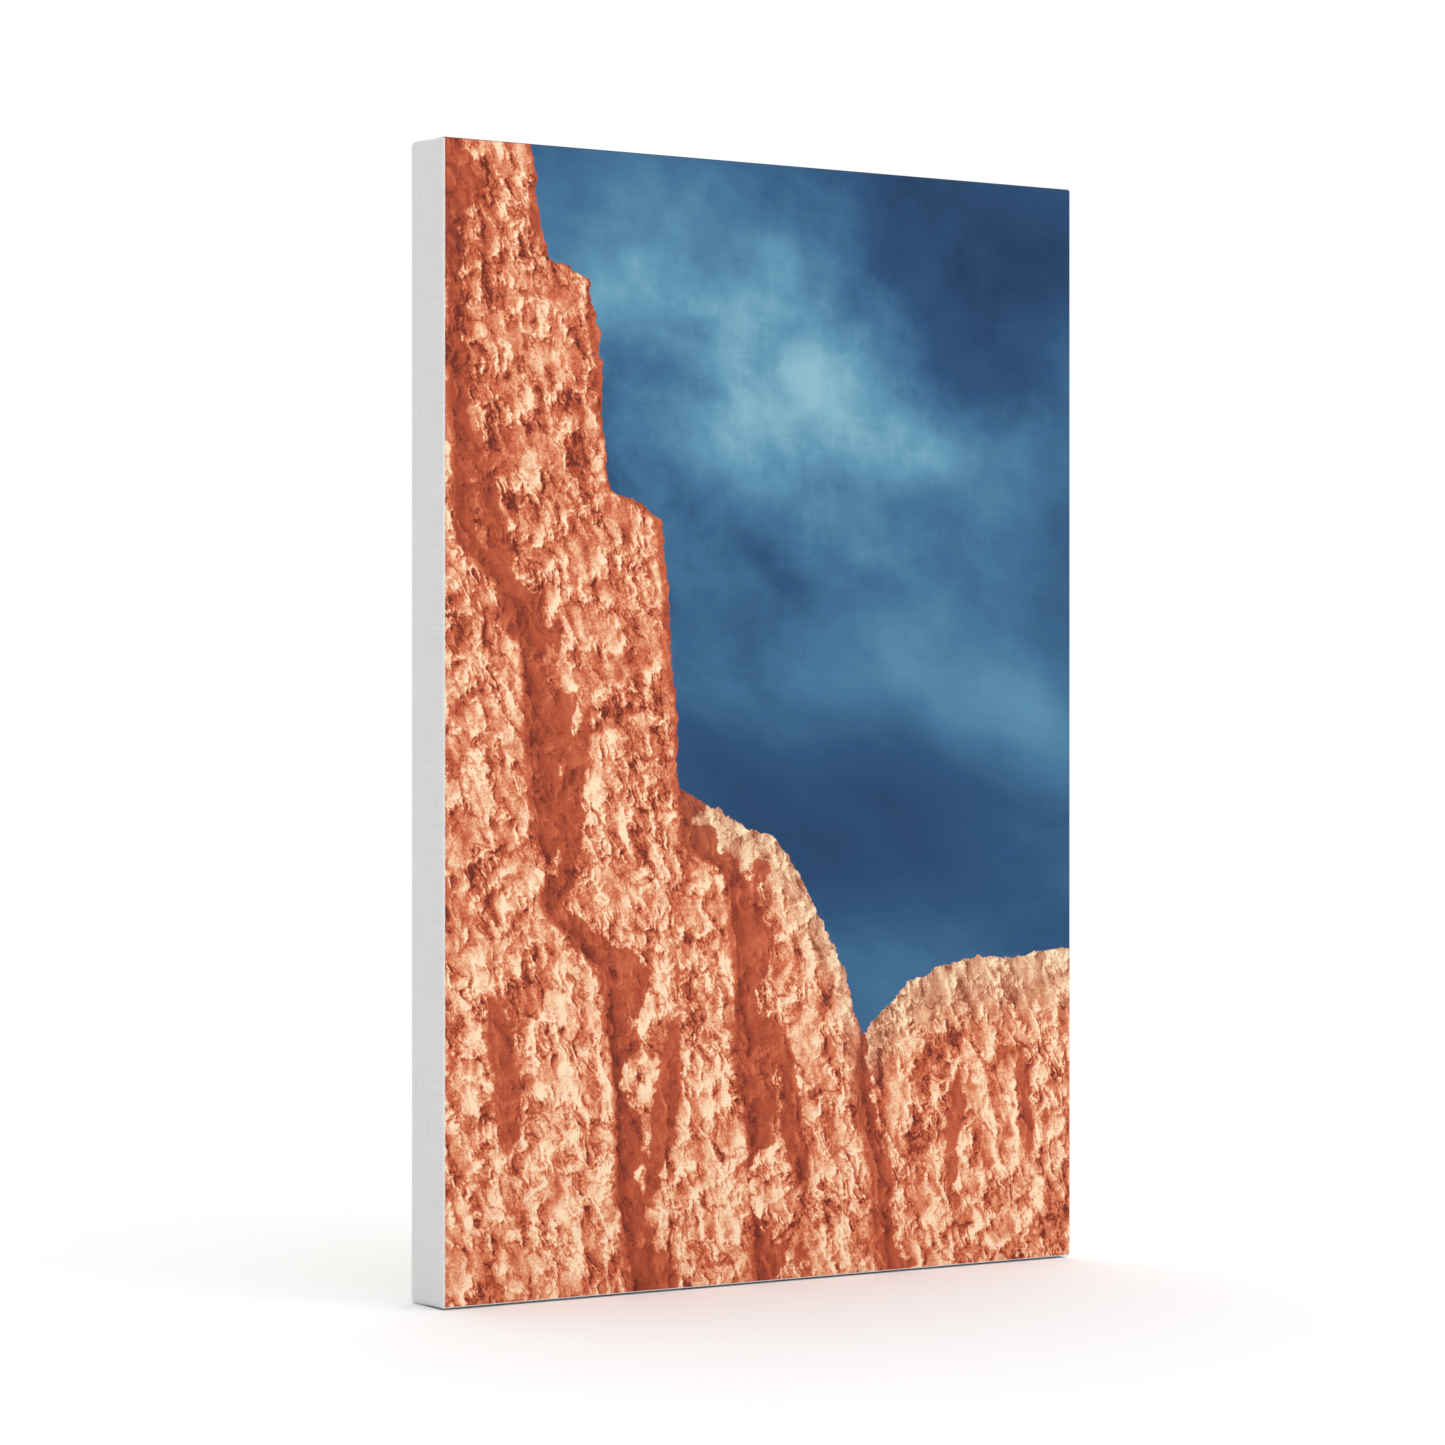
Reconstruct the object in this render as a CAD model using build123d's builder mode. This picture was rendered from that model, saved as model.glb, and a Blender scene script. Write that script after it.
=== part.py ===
"""A 16 x 24 inch gallery-wrapped stretched canvas, standing upright.

Four pine stretcher bars are joined at the corners by mitred slot-and-tongue joints, with two wooden
keys in each corner. One sheet of primed cloth is pulled over the bars, folded at the corners and
stapled to their backs. Two strap hangers with swinging D-rings are screwed to the upright bars, and
two rubber bumpers keep the lower corners off the wall.

Millimetres. +X is to the viewer's right, +Y goes from the printed face to the back, and +Z is up. The
origin is the centre of the base, midway between the printed face and the bumpers' tips.
"""

from build123d import *
import math
import os

# ---- Driving dimensions ----
FACE_WIDTH = 406.4  # 16 in, over the cloth
FACE_HEIGHT = 609.6  # 24 in, over the cloth
CLOTH = 0.52  # coated poly-cotton canvas
FOLD = 2 * CLOTH  # a corner fold lies two layers proud
HEM = 28.0  # cloth turned onto the backs of the bars
CORNER_RADIUS = 1.0  # of the cloth, round the frame's outer corners

BAR_DEPTH = 35.0  # 1 3/8 in gallery bars
BAR_WIDTH = 34.0
LIP = 6.0  # the raised outer edge that carries the cloth
RELIEF = 4.0  # how far the bar's front falls away behind the lip
EDGE_RADIUS = 1.2

TONGUE_FRONT = 12.0  # where a corner joint's two middle layers begin, from the front of the bars
TONGUE = 5.5  # thickness of a tongue and of its slot
TONGUE_SET = 0.6  # a tongue stops short of the frame's outer face

KEY_LENGTH = 42.0
KEY_TIP = 3.2
KEY_HEAD = 14.0
KEY_THICKNESS = 4.6
KEY_START = 6.0  # from the frame's outer face to the key's tip
KEY_CLEARANCE = 0.1
KEY_CHAMFER = 2.5

STAPLE_CROWN = 10.0
STAPLE_LEG = 8.0
STAPLE_WIRE = 0.9
STAPLE_THICKNESS = 0.6
STAPLE_INSET = 15.0  # from the frame's outer face
SHORT_ROW = (7, 24.0)  # number of staples, and from the frame's corner to the first one
LONG_ROW = (9, 50.0)

HANGER_INSET = 17.0  # from the frame's outer face to the strap's centre line
HANGER_DROP = 139.0  # from the frame's top to the hinge
STRAP_WIDTH = 12.0
STRAP_THICKNESS = 0.9
STRAP_LENGTH = 28.0  # below the hinge
STRAP_CORNER = 3.0
STRAP_NIP = 5.0  # below the hinge, where the two leaves come together
LEAF_GAP = 0.1
RING_WIRE = 2.4
RING_CLEARANCE = 0.1
RING_HALF_WIDTH = 9.0
RING_CORNER = 2.5
RING_SHOULDER = 5.0  # from the hinge to the ring's half circle
RING_LEAN = 6.0  # degrees off the strap that it hangs against
SCREW_DROP = 20.5  # below the hinge
SCREW_RADIUS = 1.75
SCREW_LENGTH = 13.0
SCREW_POINT = 3.0
SCREW_HEAD_RADIUS = 3.5
SCREW_HEAD_HEIGHT = 2.2
SCREW_HEAD_ROUNDING = 1.3
SCREW_HOLE_RADIUS = 2.1
RECESS_WIDTH = 1.1
RECESS_SPAN = 4.0
RECESS_DEPTH = 1.3

BUMPER_RADIUS = 5.5
BUMPER_ROUNDING = 2.6
BUMPER_HEIGHT = 4.2
BUMPER_INSET = 12.0  # from the frame's outer faces

# ---- Derived places ----
FRAME_WIDTH = FACE_WIDTH - 2 * CLOTH
FRAME_HEIGHT = FACE_HEIGHT - 2 * CLOTH
WRAP_DEPTH = BAR_DEPTH + 2 * CLOTH
TOTAL_DEPTH = WRAP_DEPTH + FOLD + BUMPER_HEIGHT
FRONT = -TOTAL_DEPTH / 2  # the printed face
FRAME_FRONT = FRONT + CLOTH
FRAME_BACK = FRAME_FRONT + BAR_DEPTH
HEM_BACK = FRAME_BACK + CLOTH
FOLD_BACK = HEM_BACK + FOLD
LEFT, RIGHT = -FRAME_WIDTH / 2, FRAME_WIDTH / 2
BOTTOM = FOLD + CLOTH
TOP = BOTTOM + FRAME_HEIGHT
MIDDLE = (BOTTOM + TOP) / 2
TONGUE_MIDDLE = TONGUE_FRONT + TONGUE
TONGUE_BACK = TONGUE_FRONT + 2 * TONGUE
KEY_SLOPE = (KEY_HEAD - KEY_TIP) / KEY_LENGTH
LOOP_RADIUS = RING_WIRE / 2 + RING_CLEARANCE + STRAP_THICKNESS / 2  # to the middle of the strap
STRAP_TOP = 2 * STRAP_THICKNESS + LEAF_GAP  # above the hem
HINGE_Y = HEM_BACK + STRAP_THICKNESS / 2 + LOOP_RADIUS
HINGE_Z = TOP - HANGER_DROP


# ---- Shared helpers ----
def save(part, name):
    """Labels a finished piece and writes its file."""
    part.label = name
    export_step(part, f"parts/{name}.step")


def pierced(part, fasteners):
    """A part with the holes that its fasteners have made."""
    with BuildPart() as holed:
        add(part)
        for fastener in fasteners:
            add(fastener, mode=Mode.SUBTRACT)
    return holed.part


def outline(plane, points):
    """A filled polygon on a plane."""
    with BuildSketch(plane) as shape:
        with BuildLine():
            Polyline(*points, close=True)
        make_face()
    return shape.sketch


def side_plane(x, z, along):
    """A side of the frame, from its first corner: x runs along the side, y goes inwards and z goes
    back from the front of the bars."""
    return Plane(origin=(x, FRAME_FRONT, z), x_dir=along, z_dir=(0, 1, 0))


def outer_plane(plane):
    """The outer face of a side, facing outwards: x runs along the side and y goes back."""
    return Plane(origin=plane.origin, x_dir=plane.x_dir, z_dir=-plane.y_dir)


def back_plane(x, y, z):
    """A plane that faces back, with its x to the viewer's right of the face and its y down."""
    return Plane(origin=(x, y, z), x_dir=(1, 0, 0), z_dir=(0, 1, 0))


# The four sides in order round the frame. Each starts at the corner where the one before it ends.
SIDES = {
    "top": (side_plane(LEFT, TOP, (1, 0, 0)), FRAME_WIDTH),
    "right": (side_plane(RIGHT, TOP, (0, 0, -1)), FRAME_HEIGHT),
    "bottom": (side_plane(RIGHT, BOTTOM, (-1, 0, 0)), FRAME_WIDTH),
    "left": (side_plane(LEFT, BOTTOM, (0, 0, 1)), FRAME_HEIGHT),
}
BEFORE = {"top": "left", "right": "top", "bottom": "right", "left": "bottom"}
AFTER = {before: name for name, before in BEFORE.items()}


def key_edge(inset):
    """How far a key's sloping edge stands from the bar that it runs along, at a distance from the
    frame's outer face."""
    return KEY_TIP + (inset - KEY_START) * KEY_SLOPE


# ---- Stretcher bars ----
def bar_section(plane):
    """The moulding's section at a bar's start: x goes inwards and y goes back."""
    across = Plane(origin=plane.origin, x_dir=plane.y_dir, z_dir=plane.x_dir)
    with BuildSketch(across) as section:
        with BuildLine():
            Polyline(
                (0, 0),
                (LIP, 0),
                (BAR_WIDTH, RELIEF),
                (BAR_WIDTH, BAR_DEPTH),
                (0, BAR_DEPTH),
                close=True,
            )
        make_face()
        fillet(section.vertices(), EDGE_RADIUS)
    return section.sketch


def stretcher_bar(plane, length):
    """One bar. Its front and back layers are mitred. At its start the layer in front of the middle is
    a tongue and the one behind is a slot, and at its end they change places."""
    past = BAR_WIDTH + 1  # beyond the bar's inner face
    before = -1  # beyond the bar's own ends and its front
    slot_outer = BAR_WIDTH + key_edge(0)
    slot_inner = BAR_WIDTH + key_edge(past)
    mitre = [(before, before), (past, past), (before, past)]
    slot = [(before, 0), (slot_outer, 0), (slot_inner, past), (before, past)]
    stop = [(before, 0), (TONGUE_SET, 0), (TONGUE_SET, past), (before, past)]

    def at_end(points):
        return [(length - x, y) for x, y in points]

    layers = [
        (before, TONGUE_FRONT, mitre, mitre),
        (TONGUE_FRONT, TONGUE_MIDDLE, stop, slot),
        (TONGUE_MIDDLE, TONGUE_BACK, slot, stop),
        (TONGUE_BACK, BAR_DEPTH + 1, mitre, mitre),
    ]
    with BuildPart() as bar:
        extrude(bar_section(plane), amount=length)
        for front, back, start_cut, end_cut in layers:
            for cut in (start_cut, at_end(end_cut)):
                extrude(outline(plane.offset(front), cut), amount=back - front, mode=Mode.SUBTRACT)
    return bar.part


# ---- Corner keys ----
def corner_key(plane, length, at_start):
    """A thin wooden wedge that lies along a bar's inner face, with its tip in the next bar's slot."""
    near = BAR_WIDTH + KEY_CLEARANCE
    tip_edge = BAR_WIDTH + key_edge(KEY_START) - KEY_CLEARANCE
    head = KEY_START + KEY_LENGTH
    head_edge = BAR_WIDTH + key_edge(head) - KEY_CLEARANCE
    points = [
        (KEY_START, near),
        (head - KEY_CHAMFER, near),
        (head, near + KEY_CHAMFER),
        (head, head_edge - KEY_CHAMFER),
        (head - KEY_CHAMFER, head_edge - KEY_CHAMFER * KEY_SLOPE),
        (KEY_START, tip_edge),
    ]
    if not at_start:
        points = [(length - x, y) for x, y in points]
    layer = TONGUE_FRONT if at_start else TONGUE_MIDDLE
    front = layer + (TONGUE - KEY_THICKNESS) / 2
    with BuildPart() as key:
        extrude(outline(plane.offset(front), points), amount=KEY_THICKNESS)
    return key.part


# ---- Cloth ----
def corner_folds(plane, length):
    """The folded ears' extra layers at both ends of the top or bottom: a triangle on the outer face
    that widens from the front corner to the back edge, then goes on across the hem."""
    start = EDGE_RADIUS + CLOTH
    back = BAR_DEPTH + CLOTH + FOLD
    outer = -(CLOTH + FOLD)
    on_edge = [(start, start), (start, back), (back, back)]
    on_back = [(start, outer), (WRAP_DEPTH, outer), (WRAP_DEPTH + HEM, HEM), (start, HEM)]
    with BuildPart() as folds:
        for face, points in ((outer_plane(plane), on_edge), (plane.offset(BAR_DEPTH), on_back)):
            for corners in (points, [(length - x, y) for x, y in points]):
                extrude(outline(face, corners), amount=CLOTH + FOLD)
    return folds.part


def rounded_slab(width, depth, height, front, radius, corner):
    """A block over the frame's middle, with its front and back rims rounded."""
    with BuildPart() as slab:
        with Locations((0, front + depth / 2, MIDDLE)):
            Box(width, depth, height)
        if corner:
            fillet(slab.edges().filter_by(Axis.Y), corner)
        fillet(slab.faces().filter_by(Axis.Y).edges(), radius)
    return slab.part


def wrapped_cloth():
    """The single sheet of cloth: printed face, four sides, hem and corner folds."""
    outside = rounded_slab(
        FACE_WIDTH, WRAP_DEPTH, FACE_HEIGHT, FRONT, EDGE_RADIUS + CLOTH, CORNER_RADIUS
    )
    frame = rounded_slab(FRAME_WIDTH, BAR_DEPTH, FRAME_HEIGHT, FRAME_FRONT, EDGE_RADIUS, 0)
    with BuildPart() as cloth:
        add(outside)
        for name in ("top", "bottom"):
            add(corner_folds(*SIDES[name]))
        add(frame, mode=Mode.SUBTRACT)
        with BuildSketch(back_plane(0, FRAME_BACK - 1, MIDDLE)):
            Rectangle(FRAME_WIDTH - 2 * HEM, FRAME_HEIGHT - 2 * HEM)
        extrude(amount=1 + CLOTH + FOLD + 1, mode=Mode.SUBTRACT)
    return cloth.part


# ---- Staples ----
def staple_row(plane, length, count, first, over_folds):
    """A row of staples through one hem, as separate solids, with their crowns along the bar."""
    pitch = (length - 2 * first) / (count - 1)
    half = STAPLE_CROWN / 2
    inner = half - STAPLE_WIRE
    with BuildPart() as row:
        with BuildSketch(outer_plane(plane).offset(STAPLE_WIRE / 2 - STAPLE_INSET)):
            for i in range(count):
                at_end = i in (0, count - 1)
                crown = BAR_DEPTH + CLOTH + STAPLE_THICKNESS + (FOLD if over_folds and at_end else 0)
                under = crown - STAPLE_THICKNESS
                foot = crown - STAPLE_LEG
                shape = [
                    (-half, foot),
                    (-half, crown),
                    (half, crown),
                    (half, foot),
                    (inner, foot),
                    (inner, under),
                    (-inner, under),
                    (-inner, foot),
                ]
                with BuildLine():
                    Polyline(*[(first + i * pitch + x, y) for x, y in shape], close=True)
                make_face()
        extrude(amount=STAPLE_WIRE)
    return row.part


# ---- Hangers: side is -1 at the left and 1 at the right ----
def hanger_x(side):
    return side * (FRAME_WIDTH / 2 - HANGER_INSET)


def hanger_strap(side):
    """A steel strap doubled round the ring's straight side, with one screw hole through both leaves."""
    lower = STRAP_THICKNESS / 2
    upper = lower + STRAP_THICKNESS + LEAF_GAP
    loop_top = lower + 2 * LOOP_RADIUS
    side_on = Plane(
        origin=(hanger_x(side) - STRAP_WIDTH / 2, HEM_BACK, HINGE_Z),
        x_dir=(0, 1, 0),
        z_dir=(1, 0, 0),
    )
    blank_height = STRAP_LENGTH + 4 * LOOP_RADIUS
    blank = back_plane(hanger_x(side), HEM_BACK - 1, HINGE_Z - STRAP_LENGTH + blank_height / 2)
    with BuildPart() as strap:
        with BuildSketch(side_on):
            with BuildLine() as run:
                Line((lower, -STRAP_LENGTH), (lower, 0))
                ThreePointArc((lower, 0), (lower + LOOP_RADIUS, LOOP_RADIUS), (loop_top, 0))
                Spline((loop_top, 0), (upper, -STRAP_NIP), tangents=((0, -1), (0, -1)))
                Line((upper, -STRAP_NIP), (upper, -STRAP_LENGTH))
            trace(run.edges(), STRAP_THICKNESS)
        extrude(amount=STRAP_WIDTH)
        with BuildSketch(blank):
            RectangleRounded(STRAP_WIDTH, blank_height, STRAP_CORNER)
        extrude(amount=3 * loop_top, mode=Mode.INTERSECT)
        with BuildSketch(back_plane(hanger_x(side), HEM_BACK - 1, HINGE_Z - SCREW_DROP)):
            Circle(SCREW_HOLE_RADIUS)
        extrude(amount=3 * loop_top, mode=Mode.SUBTRACT)
    return strap.part


def hanger_ring(side):
    """A D-ring of round wire, hanging from its straight side, which is the hinge."""
    lean = math.radians(RING_LEAN)
    ring_plane = Plane(
        origin=(hanger_x(side), HINGE_Y, HINGE_Z),
        x_dir=(1, 0, 0),
        z_dir=(0, math.cos(lean), math.sin(lean)),
    )
    wide, low = RING_HALF_WIDTH, RING_HALF_WIDTH - RING_CORNER
    bend = RING_CORNER * math.sqrt(0.5)
    with BuildPart() as ring:
        with BuildLine(ring_plane) as path:
            Line((-low, 0), (low, 0))
            ThreePointArc((low, 0), (low + bend, RING_CORNER - bend), (wide, RING_CORNER))
            Line((wide, RING_CORNER), (wide, RING_SHOULDER))
            ThreePointArc((wide, RING_SHOULDER), (0, RING_SHOULDER + wide), (-wide, RING_SHOULDER))
            Line((-wide, RING_SHOULDER), (-wide, RING_CORNER))
            ThreePointArc((-wide, RING_CORNER), (-low - bend, RING_CORNER - bend), (-low, 0))
        with BuildSketch(Plane(origin=path.line @ 0, z_dir=path.line % 0)):
            Circle(RING_WIRE / 2)
        sweep(path=path.line)
    return ring.part


def hanger_screw(side):
    """A pan-head screw with a cross recess, through the strap and the hem into the bar."""
    tip = STRAP_TOP - SCREW_LENGTH
    head_top = STRAP_TOP + SCREW_HEAD_HEIGHT
    seat = (hanger_x(side), HEM_BACK, HINGE_Z - SCREW_DROP)
    half_section = Plane(origin=seat, x_dir=(1, 0, 0), z_dir=(0, 0, 1))
    with BuildPart() as screw:
        with BuildSketch(half_section):
            with BuildLine():
                Polyline(
                    (0, head_top),
                    (0, tip),
                    (SCREW_RADIUS, tip + SCREW_POINT),
                    (SCREW_RADIUS, STRAP_TOP),
                    (SCREW_HEAD_RADIUS, STRAP_TOP),
                    (SCREW_HEAD_RADIUS, head_top),
                    close=True,
                )
            make_face()
        revolve(axis=Axis(seat, (0, 1, 0)))
        fillet(screw.edges().group_by(Axis.Y)[-1], SCREW_HEAD_ROUNDING)
        with BuildSketch(back_plane(seat[0], seat[1] + head_top, seat[2])):
            Rectangle(RECESS_SPAN, RECESS_WIDTH)
            Rectangle(RECESS_WIDTH, RECESS_SPAN)
        extrude(amount=-RECESS_DEPTH, mode=Mode.SUBTRACT)
    return screw.part


# ---- Bumpers ----
def bumper(side):
    """A stick-on rubber button on a lower corner of the back."""
    place = back_plane(side * (FRAME_WIDTH / 2 - BUMPER_INSET), FOLD_BACK, BOTTOM + BUMPER_INSET)
    with BuildPart() as button:
        with BuildSketch(place):
            Circle(BUMPER_RADIUS)
        extrude(amount=BUMPER_HEIGHT)
        fillet(button.edges().sort_by(Axis.Y)[-1], BUMPER_ROUNDING)
    return button.part


# ---- The assembly ----
os.makedirs("parts", exist_ok=True)

HANGER_SIDES = {"left": -1, "right": 1}
SCREWS = {name: hanger_screw(side) for name, side in HANGER_SIDES.items()}

STAPLES = {}
for name, (plane, length) in SIDES.items():
    short = name in ("top", "bottom")
    count, first = SHORT_ROW if short else LONG_ROW
    STAPLES[name] = staple_row(plane, length, count, first, over_folds=short)

save(pierced(wrapped_cloth(), [*SCREWS.values(), *STAPLES.values()]), "canvas")

for name, (plane, length) in SIDES.items():
    fasteners = [rows[name] for rows in (STAPLES, SCREWS) if name in rows]
    save(pierced(stretcher_bar(plane, length), fasteners), f"bar_{name}")
    save(corner_key(plane, length, at_start=True), f"key_{name}_by_{BEFORE[name]}")
    save(corner_key(plane, length, at_start=False), f"key_{name}_by_{AFTER[name]}")
    save(STAPLES[name], f"staples_{name}")

for name, side in HANGER_SIDES.items():
    save(hanger_strap(side), f"hanger_strap_{name}")
    save(hanger_ring(side), f"hanger_ring_{name}")
    save(SCREWS[name], f"hanger_screw_{name}")
    save(bumper(side), f"bumper_{name}")
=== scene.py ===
"""Looks for a gallery-wrapped stretched canvas with a landscape print, in the frame of its CAD model.

Metres throughout. +X is to the viewer's right of the print, +Y goes to the back and +Z is up.
"""

import math

import bmesh
import bpy
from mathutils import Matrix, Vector, noise


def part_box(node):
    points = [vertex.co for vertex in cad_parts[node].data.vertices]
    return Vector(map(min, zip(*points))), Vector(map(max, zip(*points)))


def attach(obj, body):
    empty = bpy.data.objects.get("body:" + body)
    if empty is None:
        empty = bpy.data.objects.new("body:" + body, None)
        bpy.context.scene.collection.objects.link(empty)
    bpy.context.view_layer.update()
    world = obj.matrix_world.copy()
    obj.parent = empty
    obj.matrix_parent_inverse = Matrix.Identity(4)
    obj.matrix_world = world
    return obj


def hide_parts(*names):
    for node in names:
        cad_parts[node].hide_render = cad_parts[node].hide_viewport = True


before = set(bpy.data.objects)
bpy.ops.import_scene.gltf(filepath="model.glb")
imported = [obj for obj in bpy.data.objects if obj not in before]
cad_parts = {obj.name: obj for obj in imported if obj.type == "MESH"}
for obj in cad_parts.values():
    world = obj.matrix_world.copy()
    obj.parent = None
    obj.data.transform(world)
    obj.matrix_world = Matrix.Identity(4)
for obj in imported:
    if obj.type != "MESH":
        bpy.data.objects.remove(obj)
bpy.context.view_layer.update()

MM = 0.001
CLOTH_LOW, CLOTH_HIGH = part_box("canvas")
BAR_LOW, BAR_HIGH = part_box("bar_left")

# The cloth's own sizes, which its CAD solid has but doesn't state.
THICKNESS = BAR_LOW.x - CLOTH_LOW.x
FOLD = 2 * THICKNESS
FOLD_START = 0.22 * MM
FOLD_SOFT = 0.9 * MM
FOLD_SINK = 0.12 * MM
FOLD_INSET = 0.2 * MM
FOLD_STEPS = 46
WIDTH = CLOTH_HIGH.x - CLOTH_LOW.x
TOP = BAR_HIGH.z + THICKNESS
BOTTOM = BAR_LOW.z - THICKNESS
HEIGHT = TOP - BOTTOM
MIDDLE = (TOP + BOTTOM) / 2
FRONT = BAR_LOW.y - THICKNESS
BACK = BAR_HIGH.y + THICKNESS
DEPTH = BACK - FRONT
HEM = 28 * MM + THICKNESS
HEM_WANDER = 0.9 * MM
HEM_LIFT = 0.55 * MM
FACE_WAVE = 0.16 * MM
EDGE_RADIUS = 1.72 * MM
SAME_PLACE = 1e-6
SHORT_PITCH = 59.56 * MM
LONG_PITCH = 63.57 * MM
HINGE_HEIGHT = 471.12 * MM


# ---------------------------------------------------------------------------------------------------
# Shader nodes
# ---------------------------------------------------------------------------------------------------
def rgb(red, green, blue):
    """A colour given in ordinary 0 to 255 steps, as the linear colour that a shader takes."""
    steps = [value / 255 for value in (red, green, blue)]
    return (*[s / 12.92 if s <= 0.04045 else ((s + 0.055) / 1.055) ** 2.4 for s in steps], 1)


class Shader:
    """One material's nodes. Any input takes a number, a vector or another node's output."""

    def __init__(self, name):
        self.material = bpy.data.materials.new(name)
        self.material.use_nodes = True
        self.nodes = self.material.node_tree.nodes
        self.links = self.material.node_tree.links
        self.surface = self.nodes["Principled BSDF"]

    def put(self, socket, value):
        if isinstance(value, bpy.types.NodeSocket):
            self.links.new(value, socket)
        else:
            socket.default_value = value

    def node(self, kind, inputs, **settings):
        node = self.nodes.new("ShaderNode" + kind)
        for name, value in settings.items():
            setattr(node, name, value)
        for name, value in inputs.items():
            self.put(node.inputs[name], value)
        return node

    def finish(self, **inputs):
        """Sets the surface's inputs, named with underscores for spaces."""
        for name, value in inputs.items():
            self.put(self.surface.inputs[name.replace("_", " ")], value)
        return self.material

    def math(self, operation, a, b=0.0):
        return self.node("Math", {0: a, 1: b}, operation=operation).outputs[0]

    def add(self, *values):
        total = values[0]
        for value in values[1:]:
            total = self.math("ADD", total, value)
        return total

    def sub(self, a, b):
        return self.math("SUBTRACT", a, b)

    def mul(self, a, b):
        return self.math("MULTIPLY", a, b)

    def blend(self, share, a, b):
        """From number a to number b as share goes from 0 to 1."""
        return self.node("Mix", {0: share, 2: a, 3: b}).outputs[0]

    def ramp_up(self, value, low, high, start=0.0, end=1.0):
        """A smooth step from start to end as value goes from low to high."""
        inputs = {0: value, 1: low, 2: high, 3: start, 4: end}
        return self.node("MapRange", inputs, interpolation_type="SMOOTHSTEP").outputs[0]

    def curve(self, value, points):
        """A line drawn through the given (value, result) points, both from 0 to 1."""
        node = self.node("FloatCurve", {"Value": value})
        line = node.mapping.curves[0].points
        while len(line) < len(points):
            line.new(0.5, 0.5)
        for point, (x, y) in zip(line, points):
            point.location = (x, y)
            point.handle_type = "VECTOR"
        node.mapping.update()
        return node.outputs[0]

    def colours(self, value, stops):
        node = self.node("ValToRGB", {"Fac": value})
        elements = node.color_ramp.elements
        while len(elements) < len(stops):
            elements.new(0.5)
        for element, (place, colour) in zip(elements, stops):
            element.position = place
            element.color = colour
        return node.outputs["Color"]

    def mix(self, share, a, b, blend="MIX"):
        node = self.node("Mix", {0: share, 6: a, 7: b}, data_type="RGBA", blend_type=blend)
        return node.outputs[2]

    def noise(self, vector, scale, detail=4.0, roughness=0.5, output=0, flat=False):
        """Cloudy noise. Flat noise ignores Z and is quicker."""
        inputs = {"Vector": vector, "Scale": scale, "Detail": detail, "Roughness": roughness}
        return self.node("TexNoise", inputs, noise_dimensions="2D" if flat else "3D").outputs[output]

    def ridges(self, vector, scale):
        """Noise with sharp crests, ignoring Z."""
        inputs = {"Vector": vector, "Scale": scale, "Detail": 5.0, "Roughness": 0.72}
        inputs.update({"Offset": 0.9, "Gain": 1.6})
        settings = {"noise_dimensions": "2D", "noise_type": "RIDGED_MULTIFRACTAL", "normalize": False}
        return self.node("TexNoise", inputs, **settings).outputs[0]

    def cells(self, vector, scale):
        """The distance to the nearest of many scattered points, ignoring Z."""
        inputs = {"Vector": vector, "Scale": scale}
        return self.node("TexVoronoi", inputs, voronoi_dimensions="2D").outputs[0]

    def vector(self, x, y, z=0.0):
        return self.node("CombineXYZ", {0: x, 1: y, 2: z}).outputs[0]

    def parts(self, vector):
        return self.node("SeparateXYZ", {0: vector}).outputs[:3]

    def shift(self, vector, offset):
        return self.node("VectorMath", {0: vector, 1: offset}, operation="ADD").outputs[0]

    def place(self, vector, scale, turn=0.0):
        """Coordinates turned by degrees about Z and then scaled, for a pattern to be drawn in."""
        inputs = {"Vector": vector, "Scale": [1 / value for value in scale]}
        inputs["Rotation"] = (0, 0, math.radians(turn))
        return self.node("Mapping", inputs, vector_type="TEXTURE").outputs[0]

    def wobble(self, vector, scale, amount, detail=4.0, roughness=0.55, flat=True):
        """The coordinates pushed about by noise."""
        cloud = self.noise(vector, scale, detail, roughness, output=1, flat=flat)
        push = self.shift(cloud, (-0.5, -0.5, -0.5))
        by = self.node("VectorMath", {0: push, "Scale": amount}, operation="SCALE").outputs[0]
        return self.shift(vector, by)

    def bump(self, height, distance, strength=1.0):
        inputs = {"Height": height, "Distance": distance, "Strength": strength}
        return self.node("Bump", inputs).outputs[0]


# ---------------------------------------------------------------------------------------------------
# The printed landscape: its coordinates run from the top left, right and down, in picture widths
# ---------------------------------------------------------------------------------------------------
PICTURE_HEIGHT = 1.5
SUN_STEP = Vector((-0.62, -0.78, 0))  # towards the sun, on the picture

# Right-hand edges of the rock masses: (how far down, how far right).
BUTTRESS_EDGE = [
    (0.00, 0.00),
    (0.52, 0.02),
    (0.60, 0.11),
    (1.00, 0.15),
    (1.08, 0.24),
    (1.50, 0.28),
]
CLIFF_EDGE = [
    (0.00, 0.13),
    (0.14, 0.15),
    (0.17, 0.22),
    (0.44, 0.25),
    (0.48, 0.33),
    (0.90, 0.36),
    (0.95, 0.43),
    (1.50, 0.48),
]
BUTTE_EDGE = [
    (0.00, 0.62),
    (1.20, 0.64),
    (1.50, 0.69),
]
# Skylines: (how far right, how far down).
BUTTE_SKYLINE = [
    (0.00, 0.86),
    (0.36, 0.84),
    (0.50, 0.90),
    (0.60, 1.04),
    (0.66, 1.24),
    (1.00, 1.30),
]
MESA_SKYLINE = [
    (0.00, 1.24),
    (0.60, 1.22),
    (0.72, 1.10),
    (0.78, 1.08),
    (1.00, 1.07),
]
# Rock masses from the back to the front: edge, skyline, and the widths of their own and thrown shade.
MASSES = [
    (None, MESA_SKYLINE, 0.008, 0.0),
    (BUTTE_EDGE, BUTTE_SKYLINE, 0.014, 0.020),
    (CLIFF_EDGE, None, 0.010, 0.045),
    (BUTTRESS_EDGE, None, 0.008, 0.040),
]
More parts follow.
